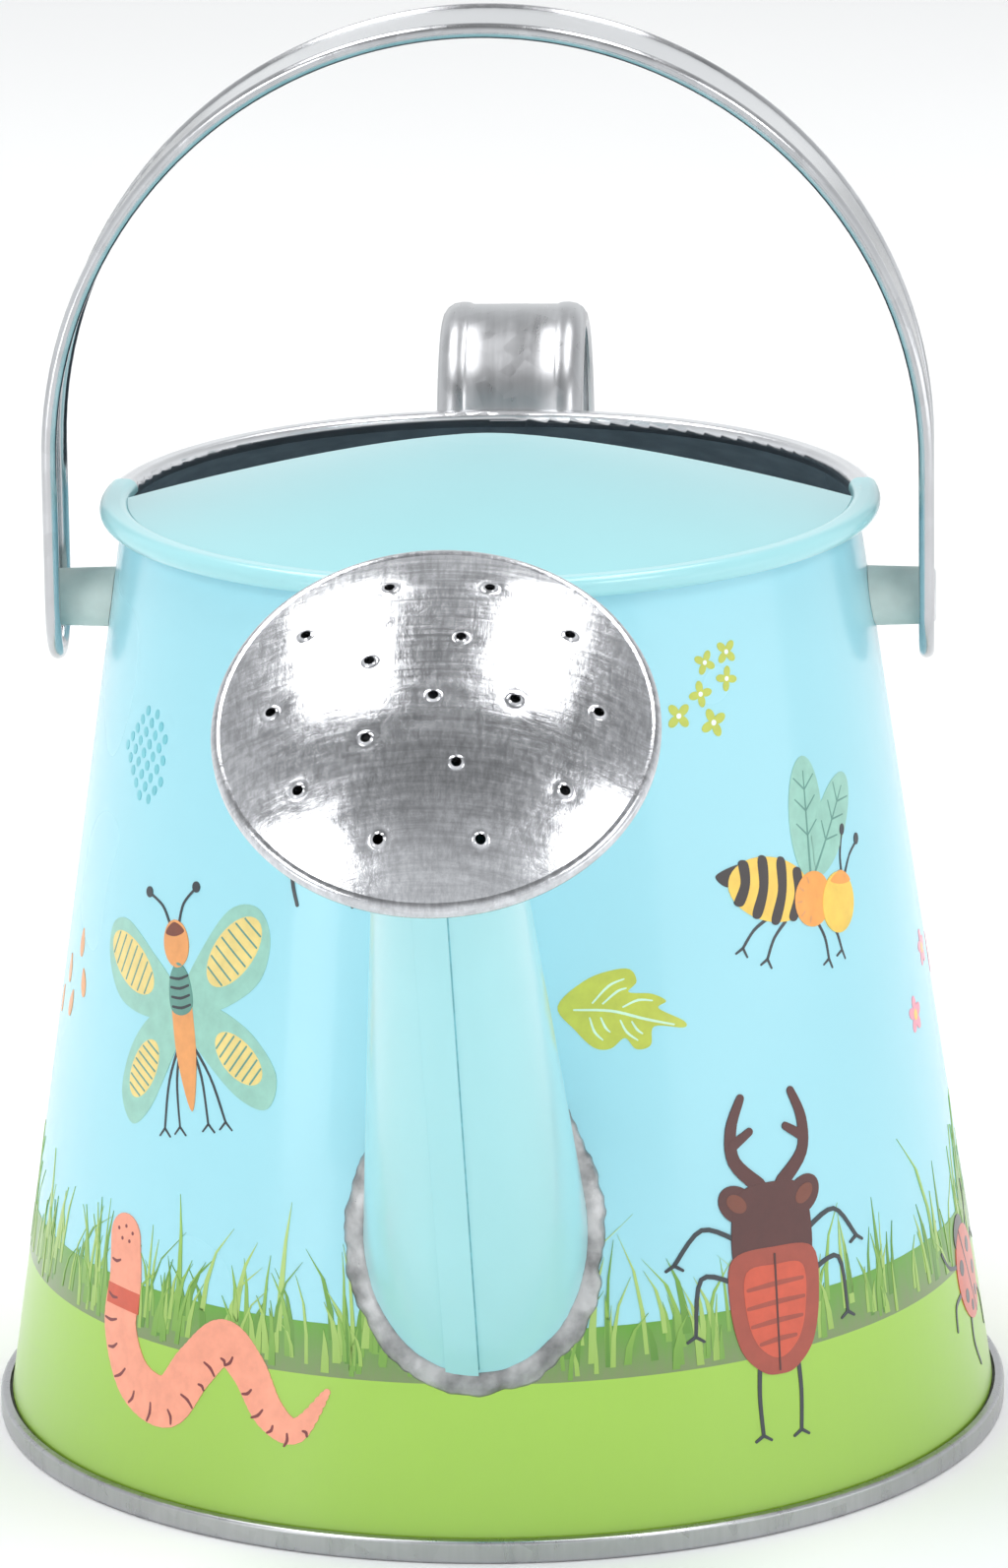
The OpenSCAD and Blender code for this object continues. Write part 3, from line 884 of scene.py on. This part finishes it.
def bee(name, deg, z, turn, size=1.0, mirror=False):
    """Striped body in profile with two veined wings."""
    m = Motif(name, deg, z, turn, size, mirror)
    for cx, cy, tilt, long in ((2.6, 11.4, 102, 8.8), (8.4, 10.6, 66, 8.2)):
        m.oval(cx, cy, long, 3.7, "teal", 1, tilt=tilt)
        t = radians(tilt)
        ax, ay = cos(t), sin(t)
        m.line([(cx - ax * long * 0.9, cy - ay * long * 0.9), (cx + ax * long * 0.75, cy + ay * long * 0.75)],
               [0.42, 0.2], "teal_line", 2, per=4)
        for k in (-0.3, 0.1, 0.45):
            sx, sy = cx + ax * long * k, cy + ay * long * k
            for side in (-1, 1):
                tip = (sx + ax * 1.9 - ay * 2.2 * side, sy + ay * 1.9 + ax * 2.2 * side)
                m.line([(sx, sy), tip], [0.28, 0.2], "teal_line", 2, per=3)
    legs(m, [((-3.4, -3.4), (-7.6, -8.2)), ((-0.2, -3.8), (-3.0, -9.4)), ((6.2, -3.2), (9.6, -8.6)),
             ((8.4, -2.6), (12.6, -7.2))], 0.5, "night", 0.5)
    m.blob([(-13.6, 1.6), (-11.4, 0.2), (-9.6, 2.2), (-9.9, 3.6)], "black", 2)
    m.oval(-3.4, 0.6, 8.0, 4.6, "yellow", 3, tilt=-4, n=40)
    for x, half in ((-8.9, 2.9), (-5.5, 4.0), (-1.9, 4.3), (1.5, 3.4)):
        y = 0.6 - sin(radians(4)) * (x + 3.4)
        m.blob([(x - 1.1, y + half), (x + 0.55, y + half + 0.15), (x + 1.35, y), (x + 0.55, y - half - 0.15),
                (x - 1.1, y - half), (x - 0.35, y)], "black", 4)
    m.oval(5.2, -0.2, 3.9, 4.0, "amber", 5)
    for k in range(5):
        a = radians(120 + 36 * k)
        c, s = cos(a), sin(a)
        m.line([(5.2 + 2.5 * c, -0.2 + 2.6 * s), (5.2 + 3.3 * c, -0.2 + 3.4 * s)], [0.3, 0.3], "orange", 6, per=2)
    m.oval(11.2, -0.4, 3.9, 4.4, "yellow", 7, tilt=8)
    m.blob([(8.9, 2.6), (11.4, 4.2), (13.9, 2.9), (11.4, 2.2)], "amber", 8)
    for bend, tip in ((0.2, (11.4, 9.6)), (1.0, (15.6, 8.4))):
        m.line([(11.6 + bend, 3.6), ((11.6 + bend + tip[0]) / 2 - 0.4, 6.4), tip], [0.4, 0.32, 0.32], "night", 2)
        m.oval(tip[0], tip[1] + 0.4, 0.62, 0.85, "night", 3, n=14)
    m.finish()


def beetle(name, deg, z, turn):
    """Stag beetle from above, over the grass."""
    m = Motif(name, deg, z, turn, lift=5)
    for side in (-1, 1):
        for path in ([(5.6, 5.6), (11, 7.6), (15.2, 3.2)], [(6.4, 0), (11.4, 1.0), (12.6, -6.6)],
                     [(3.0, -10), (3.4, -15.6), (3.1, -21)]):
            bent = [(x * side, y) for x, y in path]
            m.line(bent, [0.7, 0.6, 0.55], "night", 1)
            x, y = bent[-1]
            for dx, dy in ((-1.2, -0.7), (1.2, -0.7)):
                m.line([(x, y), (x + dx, y + dy)], [0.5, 0.4], "night", 1, per=2)
        m.line([(1.9 * side, 12.6), (5.6 * side, 16.2), (5.9 * side, 20.6), (4.2 * side, 24.6)],
               [2.2, 1.9, 1.7, 1.2], "maroon", 2)
        m.line([(5.7 * side, 18.4), (3.0 * side, 20.0)], [1.5, 1.1], "maroon", 3, per=3)
        m.oval(5.4 * side, 10.4, 3.2, 2.4, "maroon", 2, tilt=34 * side)
        m.oval(5.6 * side, 10.6, 1.7, 1.1, "rust", 4, tilt=34 * side, n=20)
    m.blob([(-5.2, 11.8), (0, 12.9), (5.2, 11.8), (6.6, 6), (5.6, 1), (0, 0.2), (-5.6, 1), (-6.6, 6)], "maroon", 3)
    m.blob([(-6.6, 3.2), (0, 4.2), (6.6, 3.2), (7.3, -3), (5.9, -9.2), (2.8, -12.4), (0, -13), (-2.8, -12.4),
            (-5.9, -9.2), (-7.3, -3)], "brick", 4)
    m.blob([(-4.6, 1.2), (0, 1.8), (4.6, 1.2), (4.9, -4), (3.4, -8.6), (0, -10.8), (-3.4, -8.6), (-4.9, -4)],
           "coral", 5)
    for k in range(4):
        y, half = -0.9 - 2.5 * k, (4.5, 4.6, 4.1, 2.9)[k]
        m.line([(-half, y - 0.3), (0, y + 0.15), (half, y + 0.3)], [0.5, 0.72, 0.5], "brick", 6, per=4)
    m.line([(0, 3.2), (0, -12.4)], [0.34, 0.3], "maroon", 7, per=3)
    m.finish()


def worm(name, deg, z, mirror=False):
    """Earthworm in two bends, ringed along one side."""
    m = Motif(name, deg, z, mirror=mirror, lift=5)
    line = [(-17.6, 15.2), (-17.0, 9.2), (-17.4, 3.0), (-13.6, -3.4), (-7.0, -4.9), (-2.6, 0.6), (2.0, 5.0),
            (6.2, 2.2), (10.0, -3.4), (14.2, -5.2), (18.2, 0.4)]
    widths = [6.6, 7.0, 7.1, 7.2, 7.0, 6.6, 6.2, 5.6, 4.8, 3.4, 1.0]
    run = smooth(line, closed=False, per=7)
    body = []
    for i, p in enumerate(run):
        k = min(i // 7, 9)
        w = widths[k] + (widths[k + 1] - widths[k]) * (i / 7 - k)
        body.append(ellipse(p.x, p.y, w / 2, w / 2, n=26))
    m.add_joined(body, "salmon", 2)
    for i in range(4, len(run) - 6, 3):
        t = (run[i + 1] - run[i - 1]).normalized()
        side = Vector((-t.y, t.x))
        w = widths[min(int(i / 7), 10)] / 2
        ahead = run[i + 2] - run[i]
        crowded = (t.x * ahead.y - t.y * ahead.x) < -0.12
        if crowded and i % 2:
            continue
        a, b = (-0.92, -0.6) if crowded else (-0.92, -0.2) if i % 2 else (-0.86, -0.32)
        m.line([run[i] + side * w * a, run[i] + side * w * (a + b) / 2 + t * 0.25, run[i] + side * w * b], [0.3,
                                                                                                            0.46,
                                                                                                            0.3],
               "wine", 3, per=3)
    m.line([(-17.1, 8.4), (-17.2, 5.6)], [7.05, 7.05], "coral", 3, per=4, round_ends=False)
    for dx, dy in ((-1.6, 2.6), (0, 3.2), (1.5, 2.5), (-0.7, 1.4), (0.9, 1.3)):
        m.oval(-17.5 + dx, 14.2 + dy - 0.6, 0.26, 0.26, "wine", 3, n=10)
    m.finish()


def leaf(name, deg, z, turn):
    """Lobed leaf with pale veins."""
    m = Motif(name, deg, z, turn)
    m.blob([(-8.2, 0.4), (-4.4, 4.4), (0.6, 6.0), (2.2, 4.4), (1.2, 2.9), (4.4, 2.8), (6.6, 1.9), (5.6, 0.9),
            (9.4, -0.7), (9.4, -1.6), (5.2, -1.5), (4.9, -4.0), (2.9, -4.6), (1.2, -3.2), (-0.6, -4.7),
            (-2.9, -4.7), (-5.6, -2.6)], "mustard", 1)
    m.line([(-6.0, 0.1), (-1, 0.3), (4, -0.6), (8, -1.2)], [0.24, 0.36, 0.36, 0.24], "pale", 2)
    for path in ([(-3.6, 1.2), (-1.6, 3.6), (0.4, 4.6)], [(-2.2, 1.2), (-0.4, 2.9), (0.8, 3.4)],
                 [(0.6, 0.9), (2.6, 1.9), (4.6, 1.9)], [(-3.8, -0.8), (-3.0, -2.6), (-1.8, -3.6)],
                 [(-2.3, -0.7), (-1.6, -1.9), (-0.9, -2.5)], [(0.4, -0.9), (1.4, -2.4), (3.0, -3.4)],
                 [(2.0, -1.0), (2.8, -2.0), (3.6, -2.5)]):
        m.line(path, [0.22, 0.34, 0.2], "pale", 2, per=4)
    m.finish()


def small_flowers(name, places):
    """Four-petalled flowers at [degrees, height, size] places."""
    m = Motif(name, 0, 0)
    for i, (deg, z, size) in enumerate(places):
        m.deg, m.z, m.turn, m.size = deg, z, radians(17 * i), size
        for k in range(4):
            a = radians(45 + 90 * k)
            m.oval(0.95 * cos(a), 0.95 * sin(a), 0.85, 0.55, "mustard", 1, tilt=45 + 90 * k, n=16)
        m.oval(0, 0, 0.34, 0.34, "white", 2, n=12)
    m.finish()


def dots(name, deg, z):
    """Oval patch of small dots."""
    m = Motif(name, deg, z)
    for row in range(-4, 5):
        for col in range(-2, 3):
            x = col * 2.5 + (1.25 if row % 2 else 0) - 0.6
            y = row * 1.45
            if (x / 5.6) ** 2 + (y / 6.2) ** 2 <= 1:
                m.oval(x, y, 0.52, 0.7, "aqua", 1, tilt=12 * sin(row + col), n=14)
    m.finish()


def drops(name, places):
    """Drops at [degrees, height, turn] places."""
    m = Motif(name, 0, 0)
    for deg, z, turn in places:
        m.deg, m.z, m.turn = deg, z, radians(turn)
        m.blob([(0, 2.3), (0.95, 0.4), (0.7, -1.2), (0, -1.7), (-0.7, -1.2), (-0.95, 0.4)], "orange", 1)
    m.finish()


def five_petals(name, places):
    """Five-petalled flowers at [degrees, height, size] places."""
    m = Motif(name, 0, 0)
    for deg, z, size in places:
        m.deg, m.z, m.size = deg, z, size
        for k in range(5):
            a = radians(90 + 72 * k)
            m.oval(1.5 * cos(a), 1.5 * sin(a), 1.25, 0.85, "pink", 1, tilt=90 + 72 * k, n=18)
        m.oval(0, 0, 0.8, 0.8, "yellow", 2, n=16)
    m.finish()


def spotted_bug(name, deg, z, turn, size=1.0):
    """Small round beetle with spots, seen from above."""
    m = Motif(name, deg, z, turn, size, lift=5)
    for side in (-1, 1):
        for path in ([(3, 3), (6.4, 5.2), (7.4, 8)], [(4.2, 0), (7.6, 0.4), (9.4, -2)],
                     [(2.6, -3.6), (4.6, -7), (4.0, -11)]):
            m.line([(x * side, y) for x, y in path], [0.6, 0.5, 0.45], "night", 1)
    m.oval(0, 5.6, 2.6, 2.2, "black", 2)
    m.oval(0, 0, 5.2, 6.0, "coral", 3)
    m.line([(0, 5.8), (0, -5.9)], [0.4, 0.3], "black", 4, per=3)
    for x, y, r in ((2.4, 2.2, 1.0), (2.9, -1.6, 0.9), (1.5, -4.0, 0.7)):
        for side in (-1, 1):
            m.oval(x * side, y, r, r, "black", 4, n=16)
    m.finish()


def ring_layer(name, low_z, high_z, out, material):
    """Closed band of ink all the way round the wall."""
    rings = []
    for k in range(int(360 / grid_deg)):
        deg = grid_deg * k
        rings.append([on_wall(deg, low_z, out), on_wall(deg, high_z, out), on_wall(deg, high_z, -ink_sink),
                      on_wall(deg, low_z, -ink_sink)])
    make_piece(name, *loft(rings, closed_path=True), [material], "can", "printed_tinplate", sharp_deg=30)


GRASS_LOW, GRASS_TOP = 23.5, 30.5


def grass(name, low, high, count, heights, tones, seed, layer):
    """Pointed blades in loose clumps, all the way round."""
    draw = random.Random(seed)
    m = Motif(name, 0, 0)
    for i in range(count):
        clump = 360 / 26 * draw.randrange(26) + draw.gauss(0, 2.6)
        deg = clump if draw.random() < 0.7 else draw.uniform(0, 360)
        tall = draw.uniform(*heights) * (1.0 if draw.random() < 0.75 else 1.35)
        lean = draw.gauss(0, 0.24) * tall
        foot = draw.uniform(low, high)
        wide = draw.uniform(0.5, 1.2)
        m.deg, m.z, m.turn = deg - 180, foot, 0.0
        outline = [(-wide / 2, 0), (-wide * 0.42 + lean * 0.1, tall * 0.35),
                   (-wide * 0.22 + lean * 0.4, tall * 0.7), (lean, tall),
                   (wide * 0.26 + lean * 0.36, tall * 0.68), (wide * 0.46 + lean * 0.08, tall * 0.33),
                   (wide / 2, 0)]
        m.add([Vector(p) for p in outline], tones[draw.randrange(len(tones))], layer + i % 3)
    m.finish()


ring_layer("ground_print", wall_foot_z + 0.02, GRASS_LOW + 0.4, ink_base,
           banded_ink("ink_ground", 3, 24, tinted(GROUND, 0.93), tinted(GROUND, 1.06), 0.15))
ring_layer("grass_band_print", GRASS_LOW, GRASS_TOP, band_out,
           banded_ink("ink_grass_band", GRASS_LOW, GRASS_TOP, linear(122, 142, 92), linear(98, 160, 48), 0.8))
BLADES = ("blade_pale", "blade_mid", "blade_deep")
for blade, top_z, low, high in zip(BLADES, (44, 42, 40), ((150, 186, 84), (112, 160, 60), (84, 136, 46)),
                                   ((186, 214, 130), (160, 200, 96), (118, 168, 62))):
    INK[blade] = banded_ink("ink_" + blade, 24, top_z, linear(*low), linear(*high), 0.3)
grass("grass_blades_back", GRASS_LOW + 0.4, GRASS_TOP - 1, 330, (5, 13), BLADES, 11, 1)
grass("grass_blades_front", GRASS_LOW + 0.2, GRASS_LOW + 2.4, 190, (4, 9), BLADES[:2], 5, 3)

dots("dots_left", -56.5, 100.3)
dots("dots_rear", 138, 96)
small_flowers("flowers_right", [(39.8, 116.8, 1.0), (35.8, 115.9, 0.95), (39.4, 113.3, 0.95), (34.6, 111.9, 1.0),
                                (36.4, 107.9, 1.15), (30.7, 109.5, 1.1)])
small_flowers("flowers_rear", [(-118, 112, 1.0), (-114, 109.5, 1.1), (-119.5, 107.6, 1.0), (-113, 105, 1.1)])
butterfly("butterfly_left", -42.6, 68.4, 15)
butterfly("butterfly_rear", 128, 70, -8, 0.95, mirror=True)
bee("bee_right", 46.6, 83.2, -15, 0.93)
bee("bee_rear", -112, 80, 12, 0.95, mirror=True)
beetle("beetle_right", 37.9, 33.6, -3)
beetle("beetle_rear", -138, 36, 4)
worm("worm_left", -33.6, 21.0)
worm("worm_rear", 116, 20.5, mirror=True)
leaf("leaf_front", 18.9, 71.6, -8)
leaf("leaf_rear", -150, 86, 12)
spotted_bug("spotted_bug_front", -21.4, 96.4, 4)
spotted_bug("spotted_bug_side", 81, 21.5, 20, 1.15)
five_petals("petals_right", [(83.6, 66.7, 0.95), (74.6, 59.9, 0.95), (94, 63, 1.1)])
drops("drops_left", [(-77, 65.4, 10), (-74, 61.4, -14), (-68.8, 65.6, 22), (-81, 60, -6), (-71.5, 70.5, 4)])


# -------- camera, light and floor

def make_camera():
    """Long lens from the front, a little above and to the right, rolled slightly."""
    focus = Vector((0.00137, 0, 0.0881))
    azimuth, height, roll = radians(3), radians(15), radians(-0.8)
    distance = 1.216
    back = Vector((sin(azimuth) * cos(height), -cos(azimuth) * cos(height),
                   sin(height)))
    data = bpy.data.cameras.new("camera")
    data.sensor_width = 36
    data.lens = 203.4
    data.clip_start = 0.05
    data.clip_end = 50
    camera = new_object("camera", data)
    turn = back.to_track_quat("Z", "Y").to_matrix().to_4x4()
    camera.matrix_world = Matrix.Translation(focus + back * distance) @ turn @ Matrix.Rotation(roll, 4, "Z")
    bpy.context.scene.camera = camera


def softbox(name, place, width, height, power, target=None):
    """Area light. Without a target it faces straight down, its width along X."""
    data = bpy.data.lights.new(name, "AREA")
    data.shape = "RECTANGLE"
    data.size = width
    data.size_y = height
    data.energy = power
    light = new_object(name, data)
    light.location = place
    if target:
        light.rotation_euler = (Vector(place) - Vector(target)).to_track_quat("Z", "Y").to_euler()


def make_floor():
    """Wide pale sheet under the can."""
    mesh = bpy.data.meshes.new("floor")
    made = bmesh.new()
    bmesh.ops.create_grid(made, x_segments=8, y_segments=8, size=6.0)
    made.to_mesh(mesh)
    made.free()
    floor = new_object("floor", mesh)
    n = Nodes("pale_floor")
    n.colour(n.ramp(n.noise(3, 2), (0.3, (0.93, 0.93, 0.93)), (0.7, (0.95, 0.95, 0.95))))
    n.set(Roughness=0.9, Specular_IOR_Level=0.1)
    mesh.materials.append(n.material)


def make_world():
    """Studio walls: pale up to eye height, darker overhead."""
    world = bpy.data.worlds.new("studio")
    world.use_nodes = True
    tree = world.node_tree
    background = tree.nodes["Background"]
    split = tree.nodes.new("ShaderNodeSeparateXYZ")
    tree.links.new(tree.nodes.new("ShaderNodeTexCoord").outputs["Generated"], split.inputs[0])
    ramp = tree.nodes.new("ShaderNodeValToRGB")
    stops = ((0.0, 1.15), (0.3, 0.97), (0.62, 0.68), (0.88, 0.3))
    while len(ramp.color_ramp.elements) < len(stops):
        ramp.color_ramp.elements.new(0.5)
    for element, (at, level) in zip(ramp.color_ramp.elements, stops):
        element.position = at
        element.color = (level * 0.97, level * 0.99, level, 1)
    tree.links.new(split.outputs[2], ramp.inputs[0])
    tree.links.new(ramp.outputs[0], background.inputs["Color"])
    background.inputs["Strength"].default_value = 1.0
    bpy.context.scene.world = world


make_camera()
make_world()
make_floor()
bpy.context.scene.view_settings.view_transform = "Standard"
softbox("left_strip", (-0.82, -0.80, 0.10), 0.26, 0.2, 0.5, (0, 0, 0.08))
softbox("right_box", (1.02, -0.34, 0.10), 1.0, 0.2, 0.75, (0, 0, 0.08))
softbox("top_back_left", (-0.44, 0.33, 1.25), 0.36, 1.0, 6.6)
softbox("top_back_right", (0.31, 0.34, 1.25), 0.27, 1.0, 5.0)
softbox("top_front_left", (-0.98, -1.18, 1.25), 0.52, 0.75, 7.5)
softbox("top_front_right", (1.02, -0.94, 1.25), 0.44, 0.72, 6.5)
